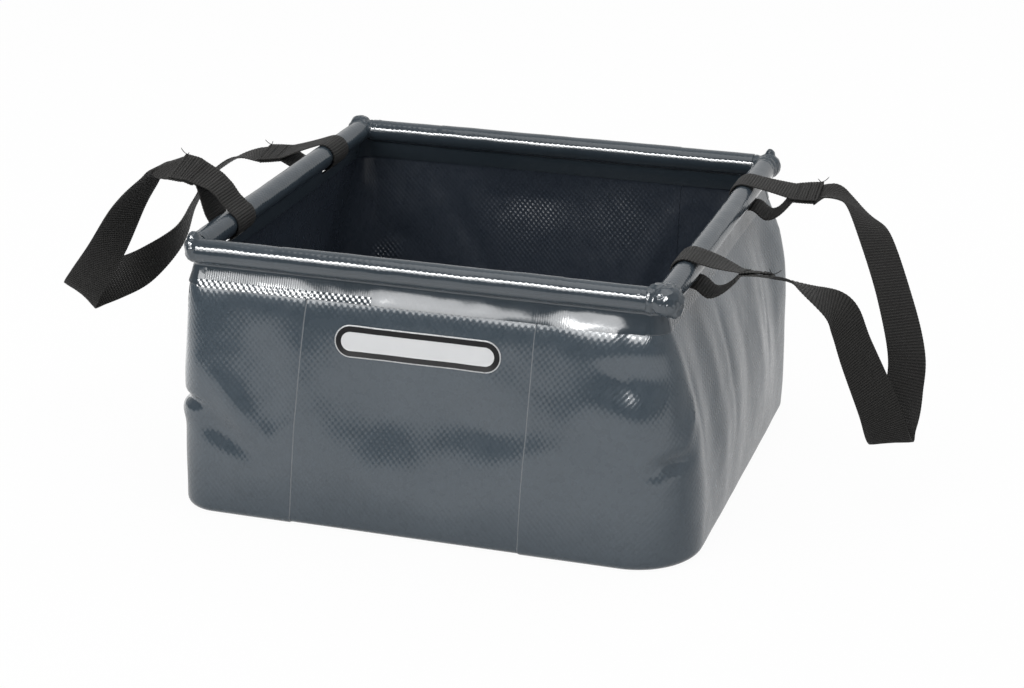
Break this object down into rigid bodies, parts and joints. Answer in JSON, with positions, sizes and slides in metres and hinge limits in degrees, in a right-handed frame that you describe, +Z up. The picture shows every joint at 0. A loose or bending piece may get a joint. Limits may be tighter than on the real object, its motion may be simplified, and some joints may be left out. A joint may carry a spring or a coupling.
{
  "type": "collapsible camp washbasin",
  "caption": "Soft square washbasin of coated fabric with a rod-stiffened rim and a webbing handle on each side.",
  "frame": {"origin": "centre of the underside, on the ground, below the middle of the square rim", "axes": "+Z up out of the bowl's mouth, +X to the right-hand handle, -Y out of the front wall that carries the label"},
  "size_m": [0.5488, 0.3042, 0.1919],
  "materials": {
    "coated_fabric": "PVC-coated tarpaulin with a fine pressed weave, satin",
    "hem_fabric": "PVC-coated tarpaulin welded over the rods, glossy",
    "label_film": "plain printed film with a dark border",
    "rod": "plain drawn tube",
    "rod_plug": "moulded black plastic",
    "webbing": "ribbed black polyamide webbing"
  },
  "bodies": {
    "bowl": {"centre_sheet": "coated_fabric", "left_sheet": "coated_fabric", "right_sheet": "coated_fabric", "label": "label_film"},
    "rim": {"front_hem": "hem_fabric", "back_hem": "hem_fabric", "left_hem": "hem_fabric", "right_hem": "hem_fabric", "front_left_corner": "hem_fabric", "front_right_corner": "hem_fabric", "back_right_corner": "hem_fabric", "back_left_corner": "hem_fabric", "front_rod": "rod", "back_rod": "rod", "left_rod": "rod", "right_rod": "rod", "front_rod_first_plug": "rod_plug", "front_rod_second_plug": "rod_plug", "back_rod_first_plug": "rod_plug", "back_rod_second_plug": "rod_plug", "left_rod_first_plug": "rod_plug", "left_rod_second_plug": "rod_plug", "right_rod_first_plug": "rod_plug", "right_rod_second_plug": "rod_plug"},
    "left_grip": {"left_handle": "webbing"},
    "right_grip": {"right_handle": "webbing"}
  },
  "joints": [
    {"name": "rim_collapse", "type": "slide", "parent": "bowl", "child": "rim", "axis": [0, 0, -1], "range_m": [0, 0.118], "deforming": ["centre_sheet", "left_sheet", "right_sheet", "label"]},
    {"name": "left_handle_swing", "type": "hinge", "parent": "rim", "child": "left_grip", "pos_m": [-0.14, 0, 0.158], "axis": [0, 1, 0], "range_deg": [-25, 135]},
    {"name": "right_handle_swing", "type": "hinge", "parent": "rim", "child": "right_grip", "pos_m": [0.14, 0, 0.158], "axis": [0, -1, 0], "range_deg": [-25, 135]}
  ]
}
